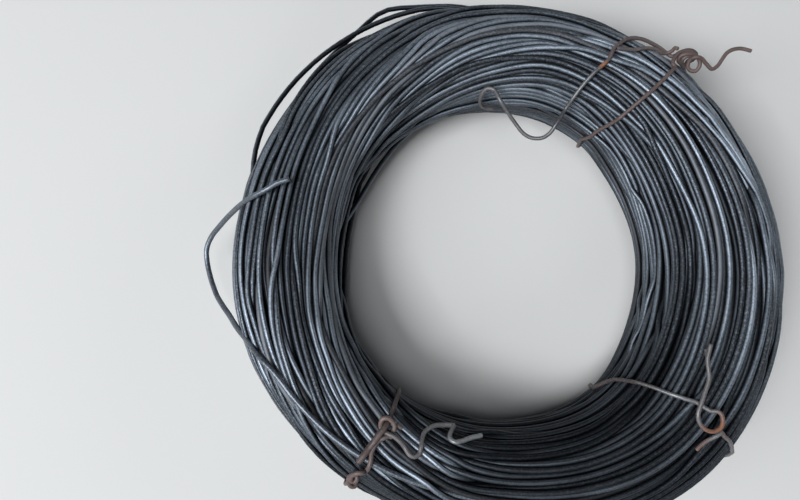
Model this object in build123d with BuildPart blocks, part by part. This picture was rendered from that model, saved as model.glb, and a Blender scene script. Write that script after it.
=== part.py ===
"""Coil of black annealed binding wire, held together by three hand-twisted wire ties.

The coil lies flat as it is stored. The origin is the middle of its eye, on the floor, and +Z is up.
Lengths are in millimetres and angles in degrees. An azimuth turns about +Z from +X. An angle
"around" runs round the bundle's section: 0 is its outer side, 90 its top, 180 its inner side.
"""

from build123d import *

import os
from math import copysign, cos, hypot, radians, sin, tan

# The coil
outer_diameter = 200.0
eye_diameter = 114.0
coil_height = 49.0
section_fullness = 2.3  # 2 makes the bundle's section an ellipse, more squares its shoulders
wire_diameter = 2.0
turn_gap = 0.4  # mean gap between turns that lie side by side
groove_depth = 0.7  # how far the valley between two turns lies below their crests
top_turns_reach = 38.0  # the turns show this far round the section from the middle of the top
bottom_turns_reach = 6.0  # and this far from the middle of the bottom
resting_land = 2.0  # width of the flat that the lowest turn rests on
lower_flank_steps = 3  # straight faces from a flank's middle to the turns underneath

# The wire's loose end, bent out over the coil's left side
free_end_azimuth = 180.0
free_end_sink = 0.4  # how deep it beds into the turns where it leaves them

# The ties
tie_diameter = 1.5
tie_clearance = 0.3  # between a tie and the turns beside it
tie_floor_gap = 0.2  # between the floor and the run of a tie under the coil
tie_step = 36.0  # a tie bends this often on its way round the bundle
knot_turns = 1.75  # one end of a tie wraps so often round the other
turn_play = 0.15  # between wires that lie side by side in a knot
loop_pitch = 3.2  # how far the wire climbs in one turn of an open loop
eyelet_bore = 2.7  # a small loop left by the pliers in a tie's tail
outer_eyelet_turns = 1.25
outer_eyelet_lean = 0.28  # how far its axis leans outwards for each unit up
shoulder_eyelet_turns = 0.75
ring_bore = 5.6  # the larger loop at the lower right tie's knot
ring_turns = 0.875

# Where each tie passes under the coil
upper_right_azimuth = 52.5
lower_left_azimuth = 232.0
lower_right_azimuth = 312.0

# How far each tie slants on its way up: to its knot outside, and to the bundle's inner side
upper_right_knot_turn = -4.0
upper_right_inner_turn = 4.5
lower_left_knot_turn = 1.4
lower_left_inner_turn = -2.5
lower_right_knot_turn = 6.0
lower_right_inner_turn = -7.0

# How far round the section each knot sits
upper_right_knot_around = 26.0
lower_left_knot_around = 46.0
lower_right_knot_around = 52.0

# How a bent wire is drawn
wire_sides = 8
steps_per_turn = 8
usual_bend = 3.0  # radius of a bend in wire diameters, where its runs leave room for it
largest_cut = 0.4  # share of a run that one bend may take
shortest_eased_run = 2.0  # in wire diameters; a shorter run keeps its plain corners

mean_radius = (outer_diameter + eye_diameter) / 4
half_width = (outer_diameter - eye_diameter) / 4
half_height = coil_height / 2
turn_pitch = wire_diameter + turn_gap
tie_rest = tie_diameter / 2 + tie_clearance  # height of a tie's middle where it lies on the turns


def section_point(around, lift=0.0):
    """Radius and height on the bundle's outline, moved outwards by lift."""
    power = 2 / section_fullness
    slope = section_fullness - 1
    across = cos(radians(around))
    up = sin(radians(around))
    x = copysign(abs(across) ** power, across)
    z = copysign(abs(up) ** power, up)
    normal_x = copysign(abs(x) ** slope, x) / half_width
    normal_z = copysign(abs(z) ** slope, z) / half_height
    length = hypot(normal_x, normal_z)
    radius = mean_radius + half_width * x + lift * normal_x / length
    height = half_height * (1 + z) + lift * normal_z / length
    return radius, height


def on_bundle(azimuth, around, lift):
    """The point at this azimuth and angle around the bundle, lift above its crests."""
    radius, height = section_point(around, lift)
    return Vector(radius * cos(radians(azimuth)), radius * sin(radians(azimuth)), height)


def heading(azimuth):
    """The level direction at this azimuth."""
    return Vector(cos(radians(azimuth)), sin(radians(azimuth)), 0)


def crest_angles(middle, reach):
    """Angles around the section, one turn pitch apart, over reach to each side of middle."""
    fine_step = 0.25
    angles = []
    travelled = 0.0
    around = middle
    while around < middle + reach:
        here = section_point(around)
        after = section_point(around + fine_step)
        travelled += hypot(after[0] - here[0], after[1] - here[1])
        around += fine_step
        if travelled >= turn_pitch * (len(angles) + 1):
            angles.append(around)
    return [2 * middle - angle for angle in reversed(angles)] + [middle] + angles


def turned_end(crests):
    """Crests with the valleys between them."""
    points = []
    for here, after in zip(crests, crests[1:]):
        points += [section_point(here), section_point((here + after) / 2, -groove_depth)]
    return points + [section_point(crests[-1])]


def turn_outline():
    """The bundle's section once round: both ends with their turns, and plain flanks."""
    top = crest_angles(90.0, top_turns_reach)
    bottom = crest_angles(270.0, bottom_turns_reach)
    step = (bottom[0] - 180) / lower_flank_steps
    below = [step * k for k in range(lower_flank_steps)]
    inner_flank = [(top[-1] + 180) / 2] + [180 + drop for drop in below]
    outer_flank = [360 - drop for drop in reversed(below)] + [(720 + top[0]) / 2]
    lower = turned_end(bottom)
    lowest = len(lower) // 2
    resting = [(mean_radius - resting_land / 2, 0), (mean_radius + resting_land / 2, 0)]
    lower[lowest : lowest + 1] = resting
    inner = [section_point(around) for around in inner_flank]
    outer = [section_point(around) for around in outer_flank]
    return turned_end(top) + inner + lower + outer


def eased(points, diameter):
    """The route with each corner between long runs cut back to the two ends of its bend."""
    route = [points[0]]
    for before, here, after in zip(points, points[1:], points[2:]):
        run_in = here - before
        run_out = after - here
        half_turn = radians(run_in.get_angle(run_out)) / 2
        shorter = min(run_in.length, run_out.length)
        if shorter < shortest_eased_run * diameter:
            route.append(here)
            continue
        cut = min(usual_bend * diameter * tan(half_turn), largest_cut * shorter)
        route += [here - run_in.normalized() * cut, here + run_out.normalized() * cut]
    return route + [points[-1]]


def bent_wire(points, diameter):
    """A wire along straight runs with mitred joints, added to the part that is being built."""
    with BuildLine() as route:
        Polyline(*eased(points, diameter))
    path = route.wire()
    with BuildSketch(Plane(origin=points[0], z_dir=points[1] - points[0])) as profile:
        RegularPolygon(radius=diameter / 2, side_count=wire_sides)
    sweep(sections=profile.sketch, path=path, transition=Transition.RIGHT)


def tail(azimuth, *stations):
    """Points of a tie's tail: degrees on from the tie, angle around, and height over the turns."""
    return [on_bundle(azimuth + turn, around, tie_rest + rise) for turn, around, rise in stations]


def turns_about(middle, axis, first, bore, turns, pitch):
    """Points of a tie's wire wound about an axis, advancing along it, from the side first."""
    axis = axis.normalized()
    first = (first - axis * first.dot(axis)).normalized()
    second = axis.cross(first)
    radius = (bore + tie_diameter) / 2
    steps = round(turns * steps_per_turn)
    points = []
    for k in range(steps + 1):
        turn = radians(360 * k / steps_per_turn)
        advance = axis * (pitch * (k - steps / 2) / steps_per_turn)
        points.append(middle + advance + (first * cos(turn) + second * sin(turn)) * radius)
    return points


def open_loop(azimuth, around, rise, start, bore, turns):
    """A loop along the bundle's surface, wound down onto it, from start degrees off outwards."""
    middle = on_bundle(azimuth, around, tie_rest + rise)
    down = on_bundle(azimuth, around, tie_rest + rise - 1) - middle
    return turns_about(middle, down, heading(azimuth + start), bore, turns, loop_pitch)


# The coil itself: one turned solid with its eye and the wire's loose end
loose_route = (
    (-19.0, 95.0, -free_end_sink),
    (-14.5, 74.0, 0.0),
    (-11.5, 50.0, 1.0),
    (-9.0, 24.0, 3.0),
    (-5.5, -4.0, 9.0),
    (-1.0, -10.0, 10.5),
    (4.5, -12.0, 7.0),
    (10.5, -10.0, 2.5),
    (17.0, -4.0, -free_end_sink),
)
free_end = [
    on_bundle(free_end_azimuth + turn, around, wire_diameter / 2 + rise)
    for turn, around, rise in loose_route
]

with BuildPart() as wire_coil:
    with BuildSketch(Plane.XZ):
        with BuildLine():
            Polyline(*turn_outline(), close=True)
        make_face()
    revolve(axis=Axis.Z)
    for azimuth in (upper_right_azimuth, lower_left_azimuth, lower_right_azimuth):
        with Locations(Location((0, 0, 0), (0, 0, azimuth))):
            with Locations((mean_radius, 0, 0)):
                Box(
                    half_width,
                    tie_diameter + 2 * tie_clearance,
                    tie_floor_gap + tie_diameter + tie_clearance,
                    align=(Align.CENTER, Align.CENTER, Align.MIN),
                    mode=Mode.SUBTRACT,
                )
    bent_wire(free_end, wire_diameter)
wire_coil.part.label = "wire_coil"

# What the three ties share
hug_radius = (half_width + half_height) / 2 + tie_rest
hug = tie_rest + hug_radius * (1 / cos(radians(tie_step / 2)) - 1)
wrap_bore = tie_diameter + 2 * turn_play
wrap_pitch = tie_diameter + turn_play
knot_lift = wrap_bore / 2 + tie_diameter + tie_clearance


class Knot:
    """One end of a tie passes straight through, and the other wraps round it."""

    def __init__(self, azimuth, around):
        self.azimuth = azimuth
        self.around = around
        self.middle = on_bundle(azimuth, around, knot_lift)
        self.outwards = (on_bundle(azimuth, around - 1, knot_lift) - self.middle).normalized()
        self.aside = heading(azimuth + 90)

    def wrap(self):
        """The wrapping end, from its tail's side to the bundle's outer flank."""
        return turns_about(self.middle, self.outwards, self.aside, wrap_bore, knot_turns, wrap_pitch)

    def core(self):
        """The end that the other one wraps."""
        half = self.outwards * ((knot_turns / 2 + 1) * wrap_pitch)
        return [self.middle - half, self.middle + half]


def strap(knot, under, inner):
    """Once round the bundle: down its outer side, under it, up its inner side and over the top."""
    floor_height = tie_floor_gap + tie_diameter / 2
    stations = [
        on_bundle(knot.azimuth, knot.around / 2, hug),
        on_bundle(knot.azimuth, -tie_step / 4, hug),
        on_bundle((knot.azimuth + under) / 2, -tie_step, hug),
        on_bundle(under, -1.5 * tie_step, hug),
    ]
    for around in (-2 * tie_step, 2 * tie_step - 180):
        beside = on_bundle(under, around, hug)
        stations.append(Vector(beside.X, beside.Y, floor_height))
    stations.append(on_bundle(under, 1.5 * tie_step - 180, hug))
    stations.append(on_bundle((under + inner) / 2, tie_step - 180, hug))
    around = 180.0
    last = knot.around + tie_step / 2
    while around > last:
        share = (180 - around) / (180 - last)
        stations.append(on_bundle(inner + (knot.azimuth - inner) * share, around, hug))
        around -= tie_step
    return stations


def tie(first_tail, knot, under, inner, last_tail):
    """A whole tie: tail, wrap, strap round the bundle, core of the knot and other tail."""
    return first_tail + knot.wrap() + strap(knot, under, inner) + knot.core() + last_tail


# The upper right tie: a long tail hangs into the eye and a short one stands off outside
upper_right_knot = Knot(upper_right_azimuth + upper_right_knot_turn, upper_right_knot_around)
hanging_tail = tail(
    upper_right_azimuth,
    (40.3, 172.0, 0.95),
    (45.6, 156.0, 0.75),
    (43.6, 143.0, 0.75),
    (34.5, 154.0, 8.95),
    (25.0, 161.0, 12.75),
    (19.0, 156.0, 10.55),
    (15.9, 130.0, 1.75),
    (13.1, 103.0, 1.15),
    (10.8, 76.0, 1.35),
    (8.0, 52.0, 1.55),
    (0.5, 42.0, 1.95),
)
eyelet_azimuth = upper_right_azimuth - 7.0
eyelet = turns_about(
    on_bundle(eyelet_azimuth, 22.0, tie_rest + 6.95),
    heading(eyelet_azimuth) * outer_eyelet_lean + Vector(0, 0, 1),
    heading(eyelet_azimuth + 168),
    eyelet_bore,
    outer_eyelet_turns,
    loop_pitch,
)
outer_tail = tail(
    upper_right_azimuth,
    (-9.8, 29.0, 9.95),
    (-9.5, 27.0, 15.15),
    (-12.0, 25.0, 19.45),
)

with BuildPart() as tie_upper_right:
    inner_azimuth = upper_right_azimuth + upper_right_inner_turn
    far_end = eyelet + outer_tail
    route = tie(hanging_tail, upper_right_knot, upper_right_azimuth, inner_azimuth, far_end)
    bent_wire(route, tie_diameter)
tie_upper_right.part.label = "tie_upper_right"

# The lower left tie: its tail runs back over the top and wanders along the inner shoulder
lower_left_knot = Knot(lower_left_azimuth + lower_left_knot_turn, lower_left_knot_around)
shoulder_eyelet = open_loop(
    lower_left_azimuth + 2.6, 108.0, 2.95, -7.0, eyelet_bore, shoulder_eyelet_turns
)
wandering_tail = tail(
    lower_left_azimuth,
    (27.0, 131.0, 1.55),
    (21.9, 121.0, 1.15),
    (17.2, 120.0, 1.15),
    (17.8, 136.0, 0.95),
    (12.2, 129.0, 1.15),
    (9.8, 104.0, 1.55),
    (7.6, 96.0, 1.75),
)
landing = tail(
    lower_left_azimuth,
    (1.8, 84.0, 1.35),
    (2.4, 66.0, 1.95),
)

with BuildPart() as tie_lower_left:
    inner_azimuth = lower_left_azimuth + lower_left_inner_turn
    near_end = wandering_tail + shoulder_eyelet + landing
    route = tie(near_end, lower_left_knot, lower_left_azimuth, inner_azimuth, [])
    bent_wire(route, tie_diameter)
tie_lower_left.part.label = "tie_lower_left"

# The lower right tie: it slants across the top, and one tail stands up from a ring at its knot
lower_right_knot = Knot(lower_right_azimuth + lower_right_knot_turn, lower_right_knot_around)
knot_ring = open_loop(lower_right_azimuth + 7.0, 76.0, 4.55, 47.0, ring_bore, ring_turns)
upright_tail = tail(
    lower_right_azimuth,
    (22.5, 105.0, 6.95),
    (17.9, 104.0, 6.35),
    (13.0, 98.0, 5.95),
)

with BuildPart() as tie_lower_right:
    inner_azimuth = lower_right_azimuth + lower_right_inner_turn
    near_end = upright_tail + knot_ring
    route = tie(near_end, lower_right_knot, lower_right_azimuth, inner_azimuth, [])
    bent_wire(route, tie_diameter)
tie_lower_right.part.label = "tie_lower_right"

os.makedirs("parts", exist_ok=True)
for piece in (wire_coil, tie_upper_right, tie_lower_left, tie_lower_right):
    export_step(piece.part, f"parts/{piece.part.label}.step")
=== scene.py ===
"""Looks of a coil of black annealed binding wire with its three twisted ties.

Lengths here are in millimetres until they reach Blender, which takes metres. An azimuth turns
about +Z from +X. "Around" is the angle round the bundle's section: 0 outer, 90 top, 180 inner.
"""

import math

import bpy
import numpy as np
from mathutils import Matrix, Vector


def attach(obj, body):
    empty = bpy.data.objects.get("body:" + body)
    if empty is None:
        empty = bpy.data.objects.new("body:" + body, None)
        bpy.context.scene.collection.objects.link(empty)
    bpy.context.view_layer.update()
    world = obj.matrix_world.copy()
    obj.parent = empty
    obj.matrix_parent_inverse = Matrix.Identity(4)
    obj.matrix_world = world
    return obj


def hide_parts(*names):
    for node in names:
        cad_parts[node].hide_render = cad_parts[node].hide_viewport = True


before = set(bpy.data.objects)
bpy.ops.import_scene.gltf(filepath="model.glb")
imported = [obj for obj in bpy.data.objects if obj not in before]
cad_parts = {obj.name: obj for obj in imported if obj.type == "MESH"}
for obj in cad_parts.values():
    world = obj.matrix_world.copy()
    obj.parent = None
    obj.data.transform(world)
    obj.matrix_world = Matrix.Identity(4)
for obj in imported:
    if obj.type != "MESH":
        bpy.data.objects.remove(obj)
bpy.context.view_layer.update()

MM = 0.001
WIRE = 2.0
# How square the bundle's section is: 2 is an ellipse
FULLNESS = 2.3
# Places round the ring at which the lay of the turns is worked out
STATIONS = 144
STEP = 2 * np.pi / STATIONS
THETA = np.arange(STATIONS) * STEP
DEGREES = np.degrees(THETA)
SEED = 11
rng = np.random.default_rng(SEED)

# The ring's outline, as harmonics of the azimuth (cos, sin of 1, 2, 3.. times the angle)
OUTER = (98.5, (0.01, 0.78, 2.00, -2.15, -0.42, -0.59, -0.55, 0.61, -0.13, -0.15, 0.30, 0.00))
INNER = (59.3, (-5.24, 1.76, -1.23, -0.33, -0.34, -0.27, -0.45, 0.05, 0.40, 0.07, 0.22, 0.15))
HEIGHT = (49.2, (3.05, -1.43))

# Where the ties pass under the ring, and how far and over what stretch they lift its lowest turns
TIE_AZIMUTHS = np.radians([52.5, 232.0, 312.0])
TIE_LIFT = 1.95
TIE_STRETCH = np.radians(7.0)


def harmonic(shape, theta):
    """A closed curve's value at these azimuths (radians), from its mean and its harmonics."""
    total = shape[0] + 0 * theta
    for k, (c, s) in enumerate(zip(shape[1][::2], shape[1][1::2]), 1):
        total = total + c * np.cos(k * theta) + s * np.sin(k * theta)
    return total


def section(theta):
    """Middle radius, half width and half height of the bundle at these azimuths (radians)."""
    outer, inner = harmonic(OUTER, theta), harmonic(INNER, theta)
    return (outer + inner) / 2, (outer - inner) / 2, harmonic(HEIGHT, theta) / 2


def signed_power(x, power):
    return np.sign(x) * np.abs(x) ** power


def on_section(theta, around, lift):
    """Radius and height on the bundle's outline, moved outwards by lift."""
    middle, half_width, half_height = section(theta)
    x = signed_power(np.cos(around), 2 / FULLNESS)
    z = signed_power(np.sin(around), 2 / FULLNESS)
    nx = signed_power(x, FULLNESS - 1) / half_width
    nz = signed_power(z, FULLNESS - 1) / half_height
    length = np.hypot(nx, nz)
    return middle + half_width * x + lift * nx / length, half_height * (1 + z) + lift * nz / length


def on_unit(around, share):
    """Places in a unit section, from the angle round it and the share of the way out."""
    x = share * signed_power(np.cos(around), 2 / FULLNESS)
    return np.stack([x, share * signed_power(np.sin(around), 2 / FULLNESS)], -1)


def share_out(unit):
    """The share of the way out to the outline of a unit section."""
    return (np.abs(unit[..., 0]) ** FULLNESS + np.abs(unit[..., 1]) ** FULLNESS) ** (1 / FULLNESS)


def polar(table):
    """Points from (azimuth in degrees, radius, height)."""
    table = np.array(table, float)
    angle = np.radians(table[:, 0])
    return np.stack([table[:, 1] * np.cos(angle), table[:, 1] * np.sin(angle), table[:, 2]], 1)


def ease(x, low, high):
    """A smooth step from 0 at low to 1 at high."""
    t = np.clip((x - low) / (high - low), 0, 1)
    return t * t * (3 - 2 * t)


def bell(reach, spread):
    """Weights of a smooth mean over 2 * reach + 1 neighbours."""
    kernel = np.exp(-(np.arange(-reach, reach + 1) ** 2) / spread)
    return kernel / kernel.sum()


# The lay of the turns
PACKED = 334
SHEET = 11
RIDERS = 12
LAID = PACKED + SHEET + RIDERS
IN_SHEET = slice(PACKED, PACKED + SHEET)
LOOSE = slice(PACKED, LAID)
# Groups of packed turns that wander together
GROUPS = 48

# How far the turns swing round the bundle: (azimuth, angle round the section), degrees
SWING = (
    (0, 0), (20, 0), (50, -8), (80, -14), (100, 2), (120, 30), (135, 46), (150, 58), (170, 65),
    (190, 62), (205, 52), (220, 36), (240, 13), (255, 0), (300, 0), (330, 0), (360, 0),
)
# A sheet of turns that lies over the others: (azimuth, angle round of its first and its last turn)
SHEET_SWING = (
    (0, 15, 53), (20, 26, 70), (50, 33, 82), (80, 41, 91), (100, 57, 107), (120, 85, 135),
    (135, 101, 151), (150, 113, 163), (170, 121, 170), (190, 118, 168), (205, 108, 158),
    (220, 92, 142), (240, 71, 121), (260, 57, 105), (280, 45, 88), (300, 32, 70), (320, 18, 54),
    (340, 12, 46), (360, 15, 53),
)

# Turns that stand off the bundle for a stretch: (azimuth, radius, height)
STRAYS = (
    (
        (95.0, 103.6, 22), (99.1, 105.7, 22), (103.1, 107.6, 21), (107.1, 109.7, 20),
        (111.1, 112.2, 19.5), (113.7, 113.3, 19), (116.3, 112.1, 19), (119.5, 109.8, 20),
        (123.7, 107.7, 21), (129.0, 105.7, 22), (135.4, 103.8, 23), (141.7, 101.4, 24),
    ),
    (
        (97.0, 98.4, 31), (102.0, 101.8, 30), (107.0, 103.8, 29), (113.1, 105.1, 28),
        (119.2, 106.0, 27), (125.3, 106.4, 26.5), (131.5, 106.7, 26), (137.7, 106.5, 26),
        (144.0, 106.0, 26), (150.2, 105.3, 26), (154.3, 103.8, 26), (158.5, 101.6, 26),
        (161.6, 99.6, 26),
    ),
    (
        (117.7, 66.2, 12), (122.9, 65.1, 12), (129.0, 64.1, 11), (135.2, 63.0, 10),
        (141.6, 62.1, 10), (148.0, 61.5, 10), (153.5, 61.3, 11), (159.0, 62.0, 12),
        (164.6, 63.0, 14), (170.0, 64.4, 15),
    ),
    (
        (145.9, 65.2, 10), (152.2, 63.2, 9), (158.6, 61.6, 9), (165.0, 60.9, 9), (171.5, 60.5, 9),
        (177.9, 60.4, 9), (184.3, 60.8, 9), (190.7, 61.5, 10), (197.0, 62.9, 11), (202.2, 64.4, 12),
    ),
    (
        (149.0, 64.8, 18), (157.3, 63.2, 18), (165.8, 62.3, 17.5), (174.3, 62.0, 17.5),
        (182.6, 62.1, 17.5), (191.0, 62.8, 18), (198.2, 64.0, 19),
    ),
)
COUNT = LAID + len(STRAYS) + 1
FREE = COUNT - 1

# The wire's free end, from its cut face down the outer flank, over the bundle and back into it:
# (azimuth, radius, height), then (azimuth, angle round the section, lift off the outline)
FREE_END = (
    (160.7, 81.6, 48.4), (162.5, 85.2, 48.0), (164.7, 88.5, 47.2), (166.6, 93.4, 43.4),
    (168.1, 99.4, 34.0), (171.2, 106.8, 24.0), (174.3, 112.4, 18.0), (176.4, 114.3, 16.0),
    (179.1, 113.9, 15.0), (182.5, 112.0, 16.0), (186.2, 109.2, 18.5), (190.6, 104.0, 24.0),
    (194.0, 100.2, 31.0), (197.2, 96.2, 38.0),
)
FREE_END_REST = (
    (201.3, 56.0, 1.0), (206.0, 66.0, 1.0), (215.4, 71.0, 1.0), (224.6, 74.0, 1.0),
    (234.0, 77.0, 0.8), (242.0, 78.0, 0.0), (250.0, 78.0, -1.1), (262.0, 76.0, -2.4),
    (290.0, 70.0, -3.5), (330.0, 62.0, -4.0), (370.0, 62.0, -4.5), (420.0, 62.0, -6.0),
    (460.0, 62.0, -8.0), (500.0, 62.0, -10.0),
)
FREE_END_STARTS = FREE_END[0][0]
FREE_END_HIDES = FREE_END_REST[-1][0]
# Where the last turn is put while it lies hidden, and how near a strand has to be to count
AWAY = 900.0
IN_REACH = 200

# Depth in the bundle runs from 0 at its outline to this at its middle, about in millimetres
DEPTH_OF_SECTION = 20


def raised(theta):
    """How far the lowest turns ride up over the ties that pass under them."""
    off = (theta[:, None] - TIE_AZIMUTHS + np.pi) % (2 * np.pi) - np.pi
    return (TIE_LIFT * np.exp(-((off / TIE_STRETCH) ** 2))).max(axis=1)


def wander(count, size, orders=4):
    """Smooth closed wandering of count strands round the ring."""
    total = np.zeros((STATIONS, count))
    for k in range(1, orders + 1):
        amount = rng.normal(0, size / k, count)
        phase = rng.uniform(0, 2 * np.pi, count)
        total += amount * np.sin(k * THETA[:, None] + phase)
    return total


def near_pairs(points, reach):
    """Pairs of strands nearer than reach at each station, as flat indices."""
    first, second = [], []
    count = points.shape[1]
    above = np.triu(np.ones((count, count), bool), 1)
    for s in range(len(points)):
        d = points[s][:, None] - points[s][None]
        i, j = np.nonzero((d[..., 0] ** 2 + d[..., 1] ** 2 < reach**2) & above)
        first.append(i + s * count)
        second.append(j + s * count)
    return np.concatenate(first), np.concatenate(second)


def free_end_path(degrees):
    """Radius and height of the wire's last turn, counted on from its cut end."""
    bent = np.array(FREE_END)
    rest = np.array(FREE_END_REST)
    radius, height = on_section(np.radians(rest[:, 0]), np.radians(rest[:, 1]), rest[:, 2])
    azimuth = np.concatenate([bent[:, 0], rest[:, 0]])
    radius = np.interp(degrees, azimuth, np.concatenate([bent[:, 1], radius]))
    return radius, np.interp(degrees, azimuth, np.concatenate([bent[:, 2], height]))


def swung(table, column=1):
    """A column of a table in degrees, smoothly round the ring (radians)."""
    table = np.array(table, float)
    values = np.interp(DEGREES, table[:, 0], table[:, column])
    reach = 6
    padded = np.pad(values, reach, mode="wrap")
    return np.radians(np.convolve(padded, bell(reach, 8.0), "valid"))


def stray_course(path, room, middle, centre_z):
    """A stray turn's places all round, where it is held to its path, and its share of the way out.

    Off its path it runs on just under the outline.
    """
    under, fade = 0.95, 5.0
    path = np.array(path)
    held = (DEGREES >= path[0, 0]) & (DEGREES <= path[-1, 0])
    radius = np.interp(DEGREES, path[:, 0], path[:, 1])
    height = np.interp(DEGREES, path[:, 0], path[:, 2])
    unit = np.stack([(radius - middle), (height - centre_z)], -1) / room
    unit_z = signed_power(unit[:, 1], FULLNESS / 2)
    around = np.arctan2(unit_z, signed_power(unit[:, 0], FULLNESS / 2)) % (2 * np.pi)
    share = share_out(unit)
    stations = np.flatnonzero(held)
    first, last = stations[0], stations[-1]
    gap = (around[first] - around[last] + np.pi) % (2 * np.pi) - np.pi
    for i in np.flatnonzero(~held):
        ahead, behind = (i - last) % STATIONS, (first - i) % STATIONS
        blend = ahead / (ahead + behind)
        around[i] = around[last] + gap * blend
        near = min(ahead, behind)
        end = share[last] if ahead < behind else share[first]
        share[i] = under + (end - under) * math.exp(-((near / fade) ** 2))
    return np.where(held[:, None], unit, on_unit(around, share)) * room, held, share


def packed_turns(room):
    """The turns that fill the section evenly. The outer ones swing round it, the inner ones wander.

    Those near the flank swing least.
    """
    filled, amount = 1.03, 2.4
    flank, flank_swing = math.radians(10), 0.3
    k = np.arange(PACKED) + 0.5
    rho = np.minimum(filled * np.sqrt(k / PACKED), 1)
    phi = k * np.pi * (3 - np.sqrt(5))
    off_flank = np.abs((phi + np.pi - flank) % (2 * np.pi) - np.pi)
    by_flank = ease(off_flank, math.radians(5), math.radians(70))
    by_flank = flank_swing + (1 - flank_swing) * by_flank
    share = ease(rho, 0.3, 0.8) * by_flank
    around = phi + swung(SWING)[:, None] * share + wander(PACKED, math.radians(4), 3)
    packed = on_unit(around, np.broadcast_to(rho, around.shape)) * room[:, None]
    home = on_unit(rng.uniform(0, 2 * np.pi, GROUPS), np.sqrt(rng.uniform(0, 1, GROUPS)))
    group = np.argmin(((on_unit(phi, rho)[:, None] - home) ** 2).sum(-1), axis=1)
    inside = 1 - ease(rho, 0.75, 0.95)
    together = np.stack([wander(GROUPS, amount)[:, group], wander(GROUPS, amount)[:, group]], -1)
    return packed + together * inside[:, None]


def sheet_turns(room):
    """Turns side by side over the left of the ring, which sink into the bundle at its bottom."""
    level, uneven, deepest = 1.05, 0.02, 0.34
    spread = np.linspace(0, 1, SHEET)
    first, last = swung(SHEET_SWING, 1)[:, None], swung(SHEET_SWING, 2)[:, None]
    around = first + (last - first) * spread + wander(SHEET, math.radians(2.5), 4)
    sunk = (deepest * ease(DEGREES, 248, 272) * (1 - ease(DEGREES, 322, 350)))[:, None]
    return on_unit(around, level + uneven * wander(SHEET, 1.0, 3) - sunk) * room[:, None]


def riding_turns(room):
    """Turns that lie loosely on the others and cross them at small angles."""
    level, uneven, swing = 1.07, 0.02, 0.9
    around = np.radians(np.linspace(-5, 185, RIDERS)) + swing * swung(SWING)[:, None]
    around = around + wander(RIDERS, math.radians(8), 3)
    return on_unit(around, level + uneven * wander(RIDERS, 1.0, 3)) * room[:, None]


def pushed_apart(shape, pinned, most, room):
    """The turns pushed apart inside the outline, so that they hardly run through each other.

    They keep near their own shape, start thin and grow to full size. The pinned ones don't move.
    """
    rounds, settling, grown = 280, 60, 0.6
    thin, look_out, look_every, slack, pushing = 0.4, 1.5, 10, 1.01, 0.8
    back, sinking, returning = 0.6, 0.997, 0.975

    def contain(p):
        f = np.maximum(share_out(p / room[:, None]), 0.001)
        wanted = np.minimum(f, most)
        p = p * (1 + back * (wanted / f - 1))[..., None]
        p[:, LOOSE] *= sinking
        p[..., 1] = np.maximum(p[..., 1], -room[:, 1, None])
        p[pinned] = shape[pinned]
        return p

    total = STATIONS * COUNT
    fixed = pinned.ravel()
    points = contain(shape.copy())
    for step in range(rounds):
        size = WIRE * (thin + (1 - thin) * min(1, step / (grown * rounds)))
        if step % look_every == 0:
            first, second = near_pairs(points, size * look_out)
            share_first = np.where(fixed[second], 1.0, 0.5)
            share_second = np.where(fixed[first], 1.0, 0.5)
        flat = points.reshape(total, 2)
        d = flat[first] - flat[second]
        dist = np.maximum(np.hypot(d[:, 0], d[:, 1]), 1e-6)
        push = pushing * np.maximum(size * slack - dist, 0) / dist
        for axis in (0, 1):
            move = push * d[:, axis]
            moved_first = np.bincount(first, move * share_first, total)
            flat[:, axis] += moved_first - np.bincount(second, move * share_second, total)
        points = flat.reshape(STATIONS, COUNT, 2)
        # A turn keeps the run of its own shape, and what the others push it by evens out along it
        last_rounds = step >= rounds - settling
        stiff = 0.3 if last_rounds else 0.7 - 0.3 * step / rounds
        pushed = points - shape
        for _ in range(1 if last_rounds else 3):
            near = (np.roll(pushed, 1, 0) + np.roll(pushed, -1, 0)) / 2
            pushed = pushed + stiff * (near - pushed)
        if not last_rounds:
            pushed = pushed * returning
        points = contain(shape + pushed)
    return points


def lay_strands():
    """Radius and height of every turn (stations, strands, 2), and its depth in the bundle."""
    middle, half_width, half_height = section(THETA)
    lift = raised(THETA)
    room = np.stack([half_width - WIRE / 2, half_height - WIRE / 2 - lift / 2], -1)
    centre_z = half_height + lift / 2
    laid = [packed_turns(room), sheet_turns(room), riding_turns(room)]
    courses = [stray_course(path, room, middle, centre_z) for path in STRAYS]
    far_off = np.full((STATIONS, 1, 2), AWAY) + np.arange(STATIONS)[:, None, None]
    shape = np.concatenate(laid + [np.stack([c[0] for c in courses], 1), far_off], 1)

    most = np.full((STATIONS, COUNT), 1.0)
    most[:, LOOSE] = 1.13
    pinned = np.zeros((STATIONS, COUNT), bool)
    for i, (_, held, share) in enumerate(courses):
        pinned[:, LAID + i] = held
        most[:, LAID + i] = np.maximum(share, 1.0)
    on = np.where(DEGREES < FREE_END_STARTS, DEGREES + 360, DEGREES)
    stations = np.flatnonzero(on <= FREE_END_HIDES)
    pinned[:, FREE] = True
    radius, height = free_end_path(on[stations])
    shape[stations, FREE] = np.stack([radius - middle[stations], height - centre_z[stations]], -1)

    points = pushed_apart(shape, pinned, most, room)
    deep = (1 - share_out(points / room[:, None])) * DEPTH_OF_SECTION
    points[..., 0] += middle[:, None]
    points[..., 1] += centre_z[:, None]
    return points, deep


places, depth = lay_strands()


def turns_at(theta):
    """Section positions of the strands at one azimuth (radians)."""
    spot = theta / STEP
    low = int(math.floor(spot))
    share = spot - low
    low %= STATIONS
    high = (low + 1) % STATIONS
    here = places[low] * (1 - share) + places[high] * share
    return here[np.hypot(here[:, 0], here[:, 1]) < IN_REACH]


# Routes, and the air between a tie and the turns it lies on
CLEARANCE = 0.02


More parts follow.
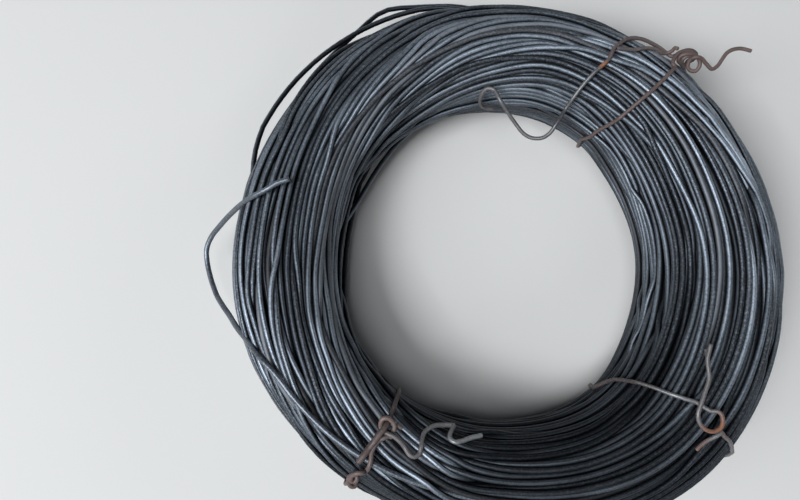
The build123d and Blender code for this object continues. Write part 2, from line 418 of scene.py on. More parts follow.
def smooth_route(points, step=0.6):
    """A smooth curve through these points, resampled at an even step, with its share of the way."""
    between = 16
    points = np.asarray(points, float)
    before, after = [2 * points[0] - points[1]], [2 * points[-1] - points[-2]]
    p = np.concatenate([before, points, after])
    knots = np.concatenate([[0], np.cumsum(np.linalg.norm(np.diff(p, axis=0), axis=1) ** 0.5)])
    out, marks = [], []
    for i in range(1, len(p) - 2):
        t0, t1, t2, t3 = knots[i - 1 : i + 3]
        t = np.linspace(t1, t2, between, endpoint=False)[:, None]
        a1 = (t1 - t) / (t1 - t0) * p[i - 1] + (t - t0) / (t1 - t0) * p[i]
        a2 = (t2 - t) / (t2 - t1) * p[i] + (t - t1) / (t2 - t1) * p[i + 1]
        a3 = (t3 - t) / (t3 - t2) * p[i + 1] + (t - t2) / (t3 - t2) * p[i + 2]
        b1 = (t2 - t) / (t2 - t0) * a1 + (t - t0) / (t2 - t0) * a2
        b2 = (t3 - t) / (t3 - t1) * a2 + (t - t1) / (t3 - t1) * a3
        out.append((t2 - t) / (t2 - t1) * b1 + (t - t1) / (t2 - t1) * b2)
        marks.append(i - 1 + np.linspace(0, 1, between, endpoint=False))
    out = np.concatenate(out + [points[-1:]])
    marks = np.concatenate(marks + [[len(points) - 1]])
    way = np.concatenate([[0], np.cumsum(np.linalg.norm(np.diff(out, axis=0), axis=1))])
    spots = np.linspace(0, way[-1], max(4, int(round(way[-1] / step)) + 1))
    route = np.stack([np.interp(spots, way, out[:, k]) for k in range(3)], 1)
    return route, np.interp(spots, way, marks)


def clear_of_turns(route, need):
    """The route lifted off the turns wherever it comes nearer than need to their middles."""
    highest, finest = 5, 0.05
    around, reach = 2, 4
    theta = np.arctan2(route[:, 1], route[:, 0]) % (2 * np.pi)
    radius = np.hypot(route[:, 0], route[:, 1])
    middle, half_width, half_height = section(theta)
    nx = (radius - middle) / half_width**2
    nz = (route[:, 2] - half_height) / half_height**2
    length = np.hypot(nx, nz)
    nx, nz = nx / length, nz / length
    lifts = np.zeros(len(route))
    tries = np.arange(0, highest, finest)
    for i in range(len(route)):
        turns = turns_at(theta[i])
        x = radius[i] + tries * nx[i]
        z = route[i, 2] + tries * nz[i]
        gap = np.hypot(turns[:, 0, None] - x, turns[:, 1, None] - z).min(0)
        lifts[i] = tries[np.argmax(gap >= need)] if (gap >= need).any() else 0
    wide = [lifts[max(0, i - around) : i + around + 1].max() for i in range(len(lifts))]
    smooth = np.convolve(np.pad(wide, reach, mode="edge"), bell(reach, 6.0), "valid")
    lifts = np.maximum(smooth, lifts)
    radius = radius + lifts * nx
    return np.stack([radius * np.cos(theta), radius * np.sin(theta), route[:, 2] + lifts * nz], 1)


def taut_strap(slant, need, first, last):
    """A tight run round the bundle between two angles in degrees, need off the turns' middles.

    The slant gives its azimuth by the angle round the section.
    """
    slant = np.array(slant, float)

    def azimuth(around):
        return np.radians(np.interp(around % 360, slant[:, 0], slant[:, 1]))

    theta = azimuth(np.array([90.0]))[0]
    middle, _, half_height = section(theta)
    turns = turns_at(theta)
    for _ in range(2):
        around = np.arctan2(turns[:, 1] - half_height, turns[:, 0] - middle)
        around = np.degrees(around) % 360
        turns = np.array([turns_at(azimuth(a))[i] for i, a in enumerate(around)])
    spots = np.radians(np.arange(0, 360, 10))
    circle = need * np.stack([np.cos(spots), np.sin(spots)], 1)
    cloud = (turns[:, None] + circle[None]).reshape(-1, 2)
    cloud = cloud[np.lexsort((cloud[:, 1], cloud[:, 0]))]

    def chain(points):
        kept = []
        for p in points:
            while len(kept) > 1 and np.cross(kept[-1] - kept[-2], p - kept[-2]) <= 0:
                kept.pop()
            kept.append(p)
        return kept[:-1]

    hull = np.array(chain(cloud) + chain(cloud[::-1]))
    hull = np.concatenate([hull, hull[:1]])
    way = np.concatenate([[0], np.cumsum(np.linalg.norm(np.diff(hull, axis=0), axis=1))])
    spots = np.linspace(0, way[-1], 400, endpoint=False)
    ring = np.stack([np.interp(spots, way, hull[:, k]) for k in range(2)], 1)
    around = np.unwrap(np.arctan2(ring[:, 1] - half_height, ring[:, 0] - middle))
    around = np.degrees(around)
    order = np.concatenate([around - 360, around, around + 360])
    ring = np.concatenate([ring] * 3)
    wanted = np.arange(first, last, 2.0)
    x, z = np.interp(wanted, order, ring[:, 0]), np.interp(wanted, order, ring[:, 1])
    angle = azimuth(wanted)
    return np.stack([x * np.cos(angle), x * np.sin(angle), z], 1)


# Meshes
TUBE_SIDES = 10


def circle_about(side, other, sides):
    """Directions (.., sides, 3) round a wire from two that stand square to it and each other."""
    angle = (np.arange(sides) * 2 * np.pi / sides)[:, None]
    return np.cos(angle) * side[..., None, :] + np.sin(angle) * other[..., None, :]


def tube_rings(route, radius, sides):
    """Vertices (points, sides, 3) of an open tube along a route, which doesn't twist on its way."""
    along = np.gradient(route, axis=0)
    along = along / np.linalg.norm(along, axis=1)[:, None]
    side = np.empty_like(along)
    start = np.cross(along[0], [0.0, 0.0, 1.0])
    if np.linalg.norm(start) < 0.1:
        start = np.cross(along[0], [1.0, 0.0, 0.0])
    side[0] = start / np.linalg.norm(start)
    for i in range(1, len(route)):
        s = side[i - 1] - along[i] * (side[i - 1] @ along[i])
        side[i] = s / np.linalg.norm(s)
    return route[:, None] + circle_about(side, np.cross(along, side), sides) * radius[:, None, None]


def turn_rings(route, radius, sides):
    """Vertices (strands, stations, sides, 3) of closed turns, with sides set by up and outwards."""
    along = np.roll(route, -1, 1) - np.roll(route, 1, 1)
    along /= np.linalg.norm(along, axis=-1, keepdims=True)
    side = np.cross(along, [0.0, 0.0, 1.0])
    side /= np.linalg.norm(side, axis=-1, keepdims=True)
    return route[..., None, :] + circle_about(side, np.cross(along, side), sides) * radius


def ring_quads(count, sides, closed):
    """Quads of one tube of count rings."""
    rings = np.arange(count if closed else count - 1)[:, None]
    spots = np.arange(sides)[None]
    after, beside = (rings + 1) % count, (spots + 1) % sides
    here, there = rings * sides, after * sides
    return np.stack([here + spots, there + spots, there + beside, here + beside], -1).reshape(-1, 4)


def mesh_piece(name, replaced, verts, quads, caps, values, material):
    """A smooth-shaded piece in metres, with named values for each vertex."""
    mesh = bpy.data.meshes.new(name)
    mesh.vertices.add(len(verts))
    mesh.vertices.foreach_set("co", (verts * MM).astype(np.float32).ravel())
    corners = np.concatenate([quads.ravel()] + [np.asarray(c).ravel() for c in caps])
    sizes = np.array([4] * len(quads) + [len(c) for c in caps])
    mesh.loops.add(len(corners))
    mesh.loops.foreach_set("vertex_index", corners.astype(np.int32))
    mesh.polygons.add(len(sizes))
    mesh.polygons.foreach_set("loop_start", (np.cumsum(sizes) - sizes).astype(np.int32))
    for label, data in values.items():
        attribute = mesh.attributes.new(label, "FLOAT", "POINT")
        attribute.data.foreach_set("value", np.asarray(data, np.float32))
    mesh.update(calc_edges=True)
    mesh.shade_smooth()
    mesh.materials.append(material)
    piece = bpy.data.objects.new(name, mesh)
    bpy.context.scene.collection.objects.link(piece)
    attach(piece, "root")
    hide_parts(replaced)


def open_tube(route, radius):
    """Rings, quads and end caps of a wire with two cut ends, their edges a little rounded."""
    rounding, cut = 0.12, 0.8
    first, last = route[1] - route[0], route[-1] - route[-2]
    first, last = first / np.linalg.norm(first), last / np.linalg.norm(last)
    route = np.concatenate([[route[0] - first * rounding], route, [route[-1] + last * rounding]])
    size = np.full(len(route), radius)
    size[[0, -1]] = radius * cut
    corners = np.arange(TUBE_SIDES)
    caps = [corners[::-1], (len(route) - 1) * TUBE_SIDES + corners]
    rings = tube_rings(route, size, TUBE_SIDES)
    return rings, ring_quads(len(route), TUBE_SIDES, False), caps


# Materials
DUST = (0.33, 0.31, 0.29)
# Near black, the colour of the painted shade in the gaps and deep in the bundle
PAINTED_SHADE = (0.004, 0.005, 0.007)
RUSTY_METALLIC = 0.1
BUMP_DEPTH = 0.00012


def wire_material(name, dark, light, rust, spot, metallic):
    """Scale between dark and light, under rust, orange spots and dust, and darkened by painted
    shade in the gaps.
    """
    material = bpy.data.materials.new(name)
    material.use_nodes = True
    nodes, links = material.node_tree.nodes, material.node_tree.links
    shader = nodes["Principled BSDF"]
    coords = nodes.new("ShaderNodeTexCoord")

    def value_of(label):
        node = nodes.new("ShaderNodeAttribute")
        node.attribute_name = label
        return node.outputs["Fac"]

    def noise(scale, detail):
        node = nodes.new("ShaderNodeTexNoise")
        node.inputs["Scale"].default_value = scale
        node.inputs["Detail"].default_value = detail
        node.inputs["Roughness"].default_value = 0.6
        links.new(coords.outputs["Object"], node.inputs["Vector"])
        return node.outputs["Fac"]

    def ramp(value, low, high, to_low, to_high):
        node = nodes.new("ShaderNodeMapRange")
        sockets = ("From Min", "From Max", "To Min", "To Max")
        for socket, number in zip(sockets, (low, high, to_low, to_high)):
            node.inputs[socket].default_value = number
        links.new(value, node.inputs["Value"])
        return node.outputs["Result"]

    def maths(kind, a, b=0.0):
        node = nodes.new("ShaderNodeMath")
        node.operation = kind
        for socket, value in zip(node.inputs, (a, b)):
            if isinstance(value, (int, float)):
                socket.default_value = value
            else:
                links.new(value, socket)
        return node.outputs[0]

    def mix(factor, a, b):
        node = nodes.new("ShaderNodeMix")
        node.data_type = "RGBA"
        links.new(factor, node.inputs["Factor"])
        for socket, value in zip((node.inputs["A"], node.inputs["B"]), (a, b)):
            if isinstance(value, tuple):
                socket.default_value = (*value, 1)
            else:
                links.new(value, socket)
        return node.outputs["Result"]

    tone, rusting, spotted = value_of("tone"), value_of("rust"), value_of("spot")
    patches, grain, fine = noise(70, 3), noise(1500, 3), noise(4200, 2)
    base = mix(maths("MULTIPLY", tone, ramp(patches, 0.3, 0.7, 0.6, 1.2)), dark, light)
    base = mix(ramp(grain, 0.5, 0.75, 0, 0.4), base, light)
    base = mix(ramp(grain, 0.3, 0.48, 0.55, 0), base, dark)
    rusty = maths("MULTIPLY", rusting, ramp(grain, 0.25, 0.6, 0.55, 1.0))
    base = mix(rusty, base, rust)
    spots = maths("MULTIPLY", spotted, ramp(grain, 0.3, 0.55, 0.4, 1.0))
    base = mix(spots, base, spot)
    dust = ramp(fine, 0.60, 0.72, 0, 0.45)
    base = mix(dust, base, DUST)
    # Painted shade: the base colour goes towards near black where the open value is low
    shaded = ramp(value_of("open"), 0, 1, 0.03, 1.0)
    links.new(mix(shaded, PAINTED_SHADE, base), shader.inputs["Base Color"])
    dull = maths("MAXIMUM", maths("MAXIMUM", rusty, spots), dust)
    links.new(ramp(dull, 0, 1, metallic, RUSTY_METALLIC), shader.inputs["Metallic"])
    # Each turn has a sheen of its own
    sheen = maths("FRACT", maths("MULTIPLY", tone, 37.0))
    rough = maths("ADD", maths("MULTIPLY", grain, 0.16), maths("MULTIPLY", sheen, 0.14))
    rough = maths("ADD", rough, 0.3)
    links.new(maths("ADD", rough, maths("MULTIPLY", dull, 0.25)), shader.inputs["Roughness"])
    bump = nodes.new("ShaderNodeBump")
    bump.inputs["Strength"].default_value = 0.25
    bump.inputs["Distance"].default_value = BUMP_DEPTH
    links.new(grain, bump.inputs["Height"])
    links.new(bump.outputs["Normal"], shader.inputs["Normal"])
    return material


black_wire = wire_material(
    "black_annealed_wire", dark=(0.022, 0.027, 0.034), light=(0.46, 0.525, 0.605),
    rust=(0.09, 0.074, 0.068), spot=(0.30, 0.12, 0.05), metallic=0.85,
)
tie_wire = wire_material(
    "rusty_tie_wire", dark=(0.045, 0.043, 0.046), light=(0.34, 0.35, 0.36),
    rust=(0.11, 0.07, 0.062), spot=(0.34, 0.125, 0.05), metallic=0.7,
)

# The coil
# Turns that come nearer than this to the outline are the outer ones
SEEN_DEPTH = 4.0
TURNS_IN_A_PIECE = 80
# The darkest tone in the sheet, how far painted shade darkens the bottom of the ring, and how many
# turns are brown
SHEET_DARKEST = 0.45
BOTTOM_SHADE = 0.76
BROWN_SHARE = 0.16
along_x, along_y = np.cos(THETA)[:, None], np.sin(THETA)[:, None]
routes = [places[..., 0] * along_x, places[..., 0] * along_y, places[..., 1]]
routes = np.stack(routes, -1).transpose(1, 0, 2)
seen = depth.min(axis=0) < SEEN_DEPTH
tones = rng.beta(1.2, 2.2, COUNT)
tones[IN_SHEET] = SHEET_DARKEST + (1 - SHEET_DARKEST) * tones[IN_SHEET]
# Painted shade: the turns at the bottom of the ring are darker, those of the sheet over a shorter
# stretch
shaded_stretch = ease(DEGREES, 200, 240) * (1 - ease(DEGREES, 300, 345))
shaded_sheet = ease(DEGREES, 238, 262) * (1 - ease(DEGREES, 300, 345))
on_sheet = np.zeros(COUNT, bool)
on_sheet[IN_SHEET] = True
bottom_shade_factor = 1 - BOTTOM_SHADE * np.where(on_sheet, shaded_sheet[:, None], shaded_stretch[:, None])
# Some turns are brown, and the others have next to no rust
is_brown = rng.random(COUNT) < BROWN_SHARE
brown = np.where(is_brown, rng.uniform(0.25, 0.75, COUNT), rng.uniform(0, 0.1, COUNT))


def painted_shade_openness(rings, picked, deep):
    """How open the faces of the wires lie to the outside of the bundle, from 0 to 1, as painted
    shade: faces turned inwards, deeper turns and the walls of the eye come out darker.
    """
    skin, fading, eye_shade = 0.5, 1.3, 0.45
    theta = np.arctan2(picked[..., 1], picked[..., 0])
    middle, half_width, half_height = section(theta)
    x = (np.hypot(picked[..., 0], picked[..., 1]) - middle) / half_width
    z = (picked[..., 2] - half_height) / half_height
    out_x = signed_power(x, FULLNESS - 1) / half_width
    out_z = signed_power(z, FULLNESS - 1) / half_height
    outwards = np.stack([out_x * np.cos(theta), out_x * np.sin(theta), out_z], -1)
    length = np.linalg.norm(outwards, axis=-1, keepdims=True) + 1e-9
    outwards /= length
    in_the_eye = ease(-out_x / length[..., 0], 0.1, 0.85)
    facing = (rings - picked[..., None, :]) / (WIRE / 2) * outwards[..., None, :]
    # Painted shade: deeper turns and the walls of the eye are darker
    shallow = np.exp(-np.maximum(deep - skin, 0) / fading) * (1 - eye_shade * in_the_eye)
    return ease(facing.sum(-1), -0.15, 0.85) * shallow[..., None]


def turns_piece(name, chosen, sides, every):
    """One piece of the chosen turns, with a ring at every so many stations."""
    picked = routes[chosen][:, ::every]
    rings = turn_rings(picked, WIRE / 2, sides)
    count = picked.shape[1]
    one = ring_quads(count, sides, True)
    quads = np.concatenate([one + i * count * sides for i in range(len(chosen))])
    repeated = {"tone": tones[chosen], "rust": brown[chosen], "spot": 0 * tones[chosen]}
    values = {k: np.repeat(v, count * sides) for k, v in repeated.items()}
    opened = painted_shade_openness(rings, picked, depth[::every][:, chosen].T)
    # The painted shade at the bottom of the ring darkens the open value further
    values["open"] = (opened * bottom_shade_factor[::every][:, chosen].T[..., None]).ravel()
    verts = rings.reshape(-1, 3)
    mesh_piece(name, "wire_coil", verts, quads, [], values, black_wire)


outer_turns = np.flatnonzero(seen[:FREE])
shares = np.array_split(outer_turns, math.ceil(len(outer_turns) / TURNS_IN_A_PIECE))
for number, chosen in enumerate(shares, 1):
    turns_piece(f"coil_turns_{number}", chosen, sides=8, every=1)
turns_piece("coil_inner_turns", np.flatnonzero(~seen[:FREE]), sides=5, every=2)

# The free end is drawn finely where it bends and more coarsely where it lies in the bundle
azimuths = np.concatenate([
    [row[0] for row in FREE_END[:4]], np.arange(168.0, 196.0, 1.5),
    np.arange(197.5, FREE_END_HIDES, 2.5),
])
radius, height = free_end_path(azimuths)
free_route, _ = smooth_route(polar(np.stack([azimuths, radius, height], 1)), 1.2)
rings, quads, caps = open_tube(free_route, WIRE / 2)
verts = rings.reshape(-1, 3)
free_look = {"tone": 0.25, "rust": 0.1, "spot": 0.0, "open": 1.0}
free_values = {label: np.full(len(verts), value) for label, value in free_look.items()}
mesh_piece(
    "coil_free_end", "wire_coil", verts, quads, caps, free_values, black_wire
)

# The ties, and how far the middles of their wires lie off the turns' middles
THICK, THIN = 1.6, 1.4
SLIM, SLIMMER = THIN * 0.95, THIN * 0.9
THIN_OFF, THICK_OFF = (WIRE + THIN) / 2 + CLEARANCE, (WIRE + THICK) / 2 + CLEARANCE


def tie_piece(name, replaced, wires):
    """One piece of several wires: (points, diameter, (share of the way, tone, rust, spot))."""
    verts, quads, caps, base = [], [], [], 0
    values = {"tone": [], "rust": [], "spot": []}
    for points, diameter, table in wires:
        route, marks = smooth_route(points)
        route = clear_of_turns(route, (WIRE + diameter) / 2 + CLEARANCE)
        rings, wire_quads, wire_caps = open_tube(route, diameter / 2)
        marks = np.concatenate([marks[:1], marks, marks[-1:]]) / (len(points) - 1)
        table = np.array(table, float)
        for k, label in enumerate(values, 1):
            along = np.interp(marks, table[:, 0], table[:, k])
            values[label].append(np.repeat(along, TUBE_SIDES))
        verts.append(rings.reshape(-1, 3))
        quads.append(wire_quads + base)
        caps += [c + base for c in wire_caps]
        base += rings.shape[0] * TUBE_SIDES
    values = {k: np.concatenate(v) for k, v in values.items()}
    values["open"] = np.ones(base)
    verts, quads = np.concatenate(verts), np.concatenate(quads)
    mesh_piece(name, replaced, verts, quads, caps, values, tie_wire)


# The upper right tie: its long tail hangs over the eye, and a short one stands off outside
long_tail = polar((
    (92.8, 59.4, 28.5), (96.8, 59.8, 30.5), (98.4, 60.7, 35.0), (98.0, 62.0, 38.5),
    (96.3, 63.1, 40.6), (94.2, 62.2, 41.0), (92.6, 57.9, 42.0), (89.8, 54.4, 40.0),
    (86.1, 50.7, 38.0), (81.7, 47.3, 37.0), (77.8, 46.3, 37.0), (73.6, 46.9, 38.0),
    (71.3, 48.8, 40.0), (70.2, 52.4, 42.0), (68.8, 58.6, 41.5), (68.1, 62.2, 45.0),
    (67.0, 66.9, 48.0), (65.6, 71.6, 50.0), (63.7, 77.6, 50.8), (63.7, 81.7, 50.8),
    (63.0, 84.7, 50.5), (61.3, 89.2, 48.8), (59.0, 91.9, 47.5), (56.7, 93.3, 46.3),
    (54.3, 94.2, 45.2),
))
upper_right_strap = (
    (0, 49.6), (22, 48.3), (61, 49.0), (79, 49.4), (92, 49.8), (108, 50.8), (127, 52.2),
    (147, 54.7), (179, 56.9), (225, 55.0), (270, 52.5), (330, 50.2), (360, 49.6),
)
ring_turns = polar((
    (50.0, 90.8, 47.8), (50.4, 93.2, 47.0), (50.4, 95.8, 46.4), (49.8, 97.8, 46.0),
    (48.9, 99.5, 45.8), (47.8, 100.6, 45.0), (47.0, 100.6, 43.6), (47.1, 99.9, 42.0),
    (47.3, 98.5, 41.0), (47.1, 96.7, 40.6), (47.5, 94.8, 41.0), (48.6, 94.1, 43.0),
    (49.4, 94.5, 45.0), (49.6, 95.6, 46.6), (48.9, 97.1, 47.4), (47.9, 98.6, 47.2),
    (46.7, 99.3, 46.4), (45.7, 99.1, 45.6), (45.1, 98.1, 44.8), (45.0, 96.6, 44.0),
    (45.7, 95.7, 43.6), (46.7, 95.7, 43.8), (47.3, 96.5, 44.6), (47.5, 97.4, 45.8),
    (47.3, 97.9, 47.2), (46.8, 98.7, 47.6), (45.9, 99.9, 46.6), (44.5, 100.4, 45.4),
    (42.9, 101.1, 44.5), (42.6, 103.4, 44.5), (42.9, 105.8, 45.0), (43.2, 108.8, 45.5),
    (42.9, 111.0, 46.0), (42.0, 113.5, 46.0), (40.5, 115.2, 46.5),
))
strap = taut_strap(upper_right_strap, THIN_OFF, 62, 372)
knot_entry = polar((
    (51.6, 94.6, 44.4), (50.9, 94.7, 44.6), (50.4, 95.9, 44.8), (50.0, 98.0, 44.8),
    (49.3, 100.2, 44.4), (48.2, 102.0, 43.6), (47.1, 102.3, 42.6), (47.1, 101.4, 41.2),
    (47.5, 100.2, 40.0), (47.3, 99.0, 38.8), (47.2, 97.9, 37.4), (47.5, 97.7, 35.4),
))
main_look = (
    (0, 0.5, 0.5, 0), (0.02, 0.45, 0.3, 0), (0.06, 0.35, 0.15, 0), (0.0762, 0.5, 0.1, 0),
    (0.077, 0.3, 0.4, 0.9), (0.0783, 0.3, 0.5, 0.9), (0.079, 0.3, 0.6, 0.05), (0.1, 0.25, 0.8, 0),
    (0.14, 0.2, 0.95, 0), (0.2, 0.3, 0.85, 0), (0.85, 0.3, 0.85, 0.05), (1, 0.25, 0.9, 0.05),
)
eyelet = polar((
    (63.1, 82.6, 50.8), (60.7, 84.5, 50.0), (57.9, 87.2, 48.6), (55.6, 90.5, 46.8),
    (53.0, 92.9, 45.2), (52.1, 94.6, 45.2), (51.7, 95.4, 46.4), (51.7, 96.1, 47.4),
    (51.1, 96.0, 48.2),
))
short_loop = polar((
    (46.4, 97.1, 38.5), (47.6, 95.5, 41.5), (48.4, 95.3, 44.0), (48.8, 95.8, 46.0),
    (48.4, 97.2, 46.6), (47.6, 98.3, 45.8), (47.0, 98.5, 44.4),
))
tie_piece("upper_right_tie", "tie_upper_right", [
    (np.concatenate([long_tail, knot_entry, strap[::-1], ring_turns]), THIN, main_look),
    (eyelet, SLIM, ((0, 0.4, 0.6, 0), (1, 0.35, 0.9, 0.1))),
    (short_loop, THIN, ((0, 0.3, 0.9, 0), (1, 0.25, 0.9, 0.05))),
])

# The lower left tie: its knot is at the outer edge, with an arch and a wandering tail on top
lower_left_strap = (
    (0, 233.2), (46, 233.4), (61, 232.6), (76, 231.7), (94, 231.6), (111, 231.6), (121, 231.0),
    (138, 229.9), (150, 229.6), (180, 229.9), (225, 231.0), (270, 232.0), (330, 233.0),
    (360, 233.2),
)
strap = taut_strap(lower_left_strap, THICK_OFF, 76, 404)
lower_left_knot = polar((
    (234.5, 92.0, 44.0), (234.5, 93.2, 44.5), (233.8, 93.7, 45.0), (232.8, 92.7, 46.0),
    (232.4, 91.2, 47.0), (232.7, 89.6, 48.0), (233.5, 89.3, 48.6), (233.9, 90.4, 48.4),
    (233.5, 91.5, 48.0), (232.8, 91.2, 48.8), (232.5, 89.7, 50.0), (233.0, 88.0, 50.6),
    (233.8, 87.0, 50.6), (234.4, 86.3, 48.0), (234.3, 83.8, 49.0), (233.8, 81.9, 49.5),
    (233.0, 80.3, 50.0), (232.6, 78.0, 50.0), (232.7, 75.9, 49.5), (233.3, 74.2, 49.5),
    (234.1, 72.9, 49.0), (234.9, 72.6, 49.0),
))
arch_and_tail = polar((
    (234.3, 70.4, 49.0), (233.7, 69.1, 49.5), (232.3, 68.3, 50.0), (230.8, 68.4, 50.5),
    (230.0, 69.5, 50.5), (230.3, 71.1, 49.5), (231.1, 72.4, 48.5), (232.2, 72.8, 49.0),
    (233.5, 72.4, 49.5), (235.2, 71.9, 50.0), (237.1, 72.1, 50.0), (239.1, 73.0, 49.5),
    (240.7, 74.0, 50.0), (242.1, 74.0, 50.0), (243.0, 72.5, 49.5), (242.7, 70.3, 49.0),
    (242.1, 68.1, 47.5), (242.1, 65.7, 46.0), (243.6, 63.6, 44.0), (246.1, 62.0, 42.0),
    (249.2, 60.8, 40.5), (250.0, 60.6, 40.5), (249.8, 61.6, 42.5), (249.3, 63.3, 45.0),
    (249.6, 64.4, 46.0), (251.1, 64.8, 47.0), (253.4, 63.7, 46.0), (256.1, 62.1, 44.5),
    (259.1, 60.9, 43.5),
))
straight = polar((
    (231.9, 84.5, 49.0), (231.9, 81.3, 50.0), (231.9, 77.6, 50.5), (231.8, 74.0, 51.0),
    (231.8, 71.5, 50.5), (231.9, 69.7, 49.0),
))
behind_arch = polar((
    (233.9, 68.5, 48.5), (234.9, 68.5, 48.3), (235.8, 68.5, 48.1),
))
# Along the strap the tone falls to nothing where it runs down the inner side of the bundle: painted
# shade
main_look = (
    (0, 0.15, 0.8, 0), (0.1, 0.1, 0.7, 0), (0.18, 0.0, 0.45, 0), (0.4, 0.0, 0.5, 0),
    (0.85, 0.2, 0.9, 0.05), (0.93, 0.25, 0.85, 0.05), (1, 0.35, 0.7, 0),
)
arch_look = (
    (0, 0.4, 0.7, 0.1), (0.04, 0.5, 0.6, 0.15), (0.17, 0.5, 0.6, 0.2), (0.24, 0.35, 0.7, 0.05),
    (0.3, 0.45, 0.55, 0), (0.5, 0.5, 0.4, 0), (0.6, 0.6, 0.25, 0), (0.8, 0.65, 0.2, 0),
    (1, 0.85, 0.1, 0),
)
tie_piece("lower_left_tie", "tie_lower_left", [
    (np.concatenate([strap, lower_left_knot]), THICK, main_look),
    (arch_and_tail, THICK, arch_look),
    (straight, WIRE, ((0, 0.05, 0.75, 0), (1, 0, 0.8, 0))),
    (behind_arch, THIN, ((0, 0.3, 0.7, 0.1), (1, 0.4, 0.6, 0))),
])

# The lower right tie: it slants across the top to a ring, and one end stands up from it
lower_right_strap = (
    (0, 317.0), (45, 318.3), (59, 318.6), (67, 318.4), (76, 318.1), (88, 320.7), (96, 320.2),
    (104, 318.9), (113, 317.5), (125, 316.2), (132, 315.1), (143, 313.4), (158, 311.1),
    (168, 308.7), (180, 305.2), (225, 308.0), (270, 312.0), (330, 315.6), (360, 317.0),
)
strap = taut_strap(lower_right_strap, THIN_OFF, 98, 428)
knot_ring = polar((
    (334.4, 68.0, 56.5), (332.3, 68.5, 56.3), (330.2, 69.2, 56.2), (328.0, 70.8, 56.5),
    (326.1, 72.3, 56.6), (323.8, 73.1, 56.6), (321.5, 73.9, 56.6), (319.3, 74.8, 56.6),
    (317.4, 75.9, 56.4), (316.3, 77.8, 56.0), (316.0, 80.1, 55.6), (316.4, 82.4, 55.2),
    (317.4, 84.0, 55.0), (318.9, 84.6, 55.0), (320.3, 83.8, 55.0), (321.2, 82.2, 54.8),
    (321.1, 80.6, 54.4), (320.5, 79.9, 54.0),
))
outer_hook = polar((
    (318.4, 87.4, 52.5), (318.5, 86.1, 52.5),
))
cut_end = polar((
    (318.4, 86.3, 54.0), (317.1, 85.8, 54.0), (315.8, 85.2, 53.6), (314.5, 84.7, 53.2),
    (313.1, 84.6, 52.8), (311.8, 84.7, 52.6),
))
ring_stub = polar((
    (332.8, 68.2, 54.5), (331.0, 69.2, 55.2), (329.5, 70.3, 56.0),
))
# Just past the ring the strap is painted light grey, a painted highlight; further on its tone falls
# to near black
main_look = (
    (0, 0.45, 0.35, 0), (0.05, 0.4, 0.4, 0), (0.055, 0.3, 0.8, 0.4), (0.072, 0.3, 0.9, 0.75),
    (0.08, 0.35, 0.8, 0.2), (0.09, 0.5, 0.3, 0), (0.12, 0.75, 0.1, 0), (0.15, 0.5, 0.1, 0),
    (0.18, 0.15, 0.35, 0), (0.24, 0.02, 0.5, 0), (0.8, 0.3, 0.6, 0), (0.93, 0.6, 0.3, 0),
    (0.98, 0.6, 0.4, 0), (1, 0.4, 0.7, 0.3),
)
# A third of the way along, the cut end is painted pale grey with little rust: a painted highlight
cut_look = (
    (0, 0.6, 0.5, 0), (0.3, 0.95, 0.1, 0), (0.55, 0.4, 0.7, 0.1), (1, 0.15, 0.8, 0.2),
)
tie_piece("lower_right_tie", "tie_lower_right", [
    (np.concatenate([knot_ring, strap, outer_hook]), THIN, main_look),
    (cut_end, SLIM, cut_look),
    (ring_stub, SLIMMER, ((0, 0.45, 0.3, 0), (1, 0.4, 0.4, 0))),
])


# Floor, light and camera
FLOOR_RADIUS = 1.8
FLOOR_SIDES = 128
SKY = (0.80, 0.88, 1.0)
SKY_STRENGTH = 0.04
WALLS = (0.80, 0.82, 0.85)
WALLS_STRENGTH = 0.75
LIGHT_SIZE = 0.7
LIGHT_DISTANCE = 2.0
LIGHT_COLOUR = (0.90, 0.95, 1.0)
# (name, azimuth, elevation, watts)
LIGHTS = (
    ("key_light", 208, 54, 35), ("high_light", 200, 78, 10), ("low_light", 275, 35, 5),
    ("right_light", 25, 25, 4), ("left_light", 193, 36, 10),
)
# The camera: its sensor in millimetres, its focal length and frame in pixels, its place in
# millimetres, and its lean and roll in radians
SENSOR = 36
FOCAL_PIXELS, FRAME_PIXELS = 628, 800
CAMERA_PLACE = (-42.2, -23.8, 260.2)
TILT, ROLL = 0.123, -0.015

pale_floor = bpy.data.materials.new("pale_floor")
pale_floor.use_nodes = True
floor_shader = pale_floor.node_tree.nodes["Principled BSDF"]
floor_shader.inputs["Base Color"].default_value = (0.62, 0.60, 0.575, 1)
floor_shader.inputs["Roughness"].default_value = 0.85
rim = [
    (FLOOR_RADIUS * math.cos(angle), FLOOR_RADIUS * math.sin(angle), 0)
    for angle in (math.tau * i / FLOOR_SIDES for i in range(FLOOR_SIDES))
]
floor_mesh = bpy.data.meshes.new("floor")
floor_mesh.from_pydata(rim, [], [range(FLOOR_SIDES)])
floor = bpy.data.objects.new("floor", floor_mesh)
floor.data.materials.append(pale_floor)
bpy.context.scene.collection.objects.link(floor)

# A dim sky, and pale studio walls that only the camera and reflections see
world = bpy.data.worlds.new("studio")
world.use_nodes = True
nodes, links = world.node_tree.nodes, world.node_tree.links
sky = nodes["Background"]
sky.inputs["Color"].default_value = (*SKY, 1)
sky.inputs["Strength"].default_value = SKY_STRENGTH
walls = nodes.new("ShaderNodeBackground")
walls.inputs["Color"].default_value = (*WALLS, 1)
walls.inputs["Strength"].default_value = WALLS_STRENGTH
ray = nodes.new("ShaderNodeLightPath")
direction = nodes.new("ShaderNodeTexCoord")
upwards = nodes.new("ShaderNodeSeparateXYZ")
links.new(direction.outputs["Generated"], upwards.inputs[0])
near_floor = nodes.new("ShaderNodeMapRange")
for socket, number in (("From Min", 0.2), ("From Max", 0.45), ("To Min", 1.0), ("To Max", 0.0)):
    near_floor.inputs[socket].default_value = number
links.new(upwards.outputs["Z"], near_floor.inputs["Value"])


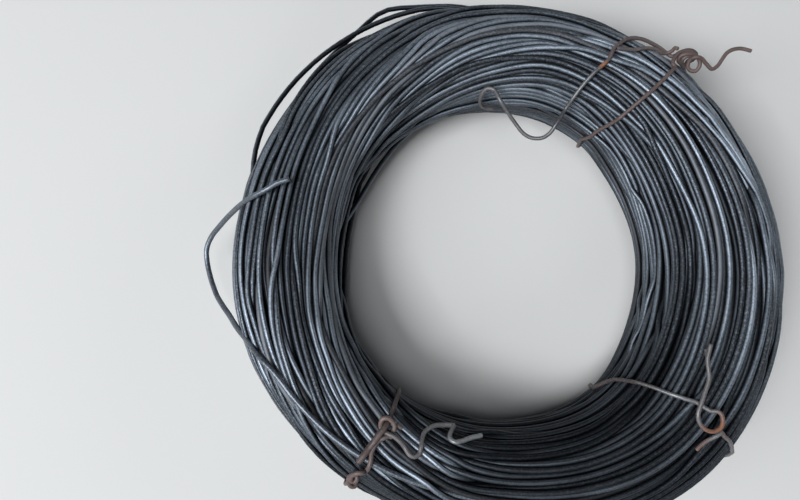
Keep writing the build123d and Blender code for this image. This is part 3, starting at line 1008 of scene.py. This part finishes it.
def joined(kind, a, b):
    node = nodes.new("ShaderNodeMath")
    node.operation = kind
    links.new(a, node.inputs[0])
    links.new(b, node.inputs[1])
    return node.outputs[0]


mirrored = joined("MAXIMUM", ray.outputs["Is Glossy Ray"], ray.outputs["Is Transmission Ray"])
mirrored = joined("MULTIPLY", mirrored, near_floor.outputs["Result"])
shown = joined("MAXIMUM", ray.outputs["Is Camera Ray"], mirrored)
either = nodes.new("ShaderNodeMixShader")
links.new(shown, either.inputs[0])
links.new(sky.outputs[0], either.inputs[1])
links.new(walls.outputs[0], either.inputs[2])
links.new(either.outputs[0], nodes["World Output"].inputs["Surface"])
bpy.context.scene.world = world

for name, azimuth, elevation, watts in LIGHTS:
    light = bpy.data.lights.new(name, "AREA")
    light.size = LIGHT_SIZE
    light.energy = watts
    light.color = LIGHT_COLOUR
    a, e = math.radians(azimuth), math.radians(elevation)
    place = (
        LIGHT_DISTANCE * math.cos(e) * math.cos(a), LIGHT_DISTANCE * math.cos(e) * math.sin(a),
        LIGHT_DISTANCE * math.sin(e),
    )
    holder = bpy.data.objects.new(name, light)
    holder.location = place
    holder.rotation_euler = (-Vector(place)).to_track_quat("-Z", "Y").to_euler()
    bpy.context.scene.collection.objects.link(holder)

camera_data = bpy.data.cameras.new("camera")
camera_data.sensor_width = SENSOR
camera_data.lens = SENSOR * FOCAL_PIXELS / FRAME_PIXELS
camera_data.clip_start = 0.01
camera = bpy.data.objects.new("camera", camera_data)
about_x = Matrix((
    (1, 0, 0), (0, math.cos(TILT), math.sin(TILT)), (0, -math.sin(TILT), math.cos(TILT)),
))
about_y = Matrix((
    (math.cos(ROLL), 0, -math.sin(ROLL)), (0, 1, 0), (math.sin(ROLL), 0, math.cos(ROLL)),
))
turn = (about_y @ about_x).transposed().to_4x4()
camera.matrix_world = Matrix.Translation(Vector(CAMERA_PLACE) * MM) @ turn
bpy.context.scene.collection.objects.link(camera)
bpy.context.scene.camera = camera
bpy.context.scene.view_settings.view_transform = "Standard"
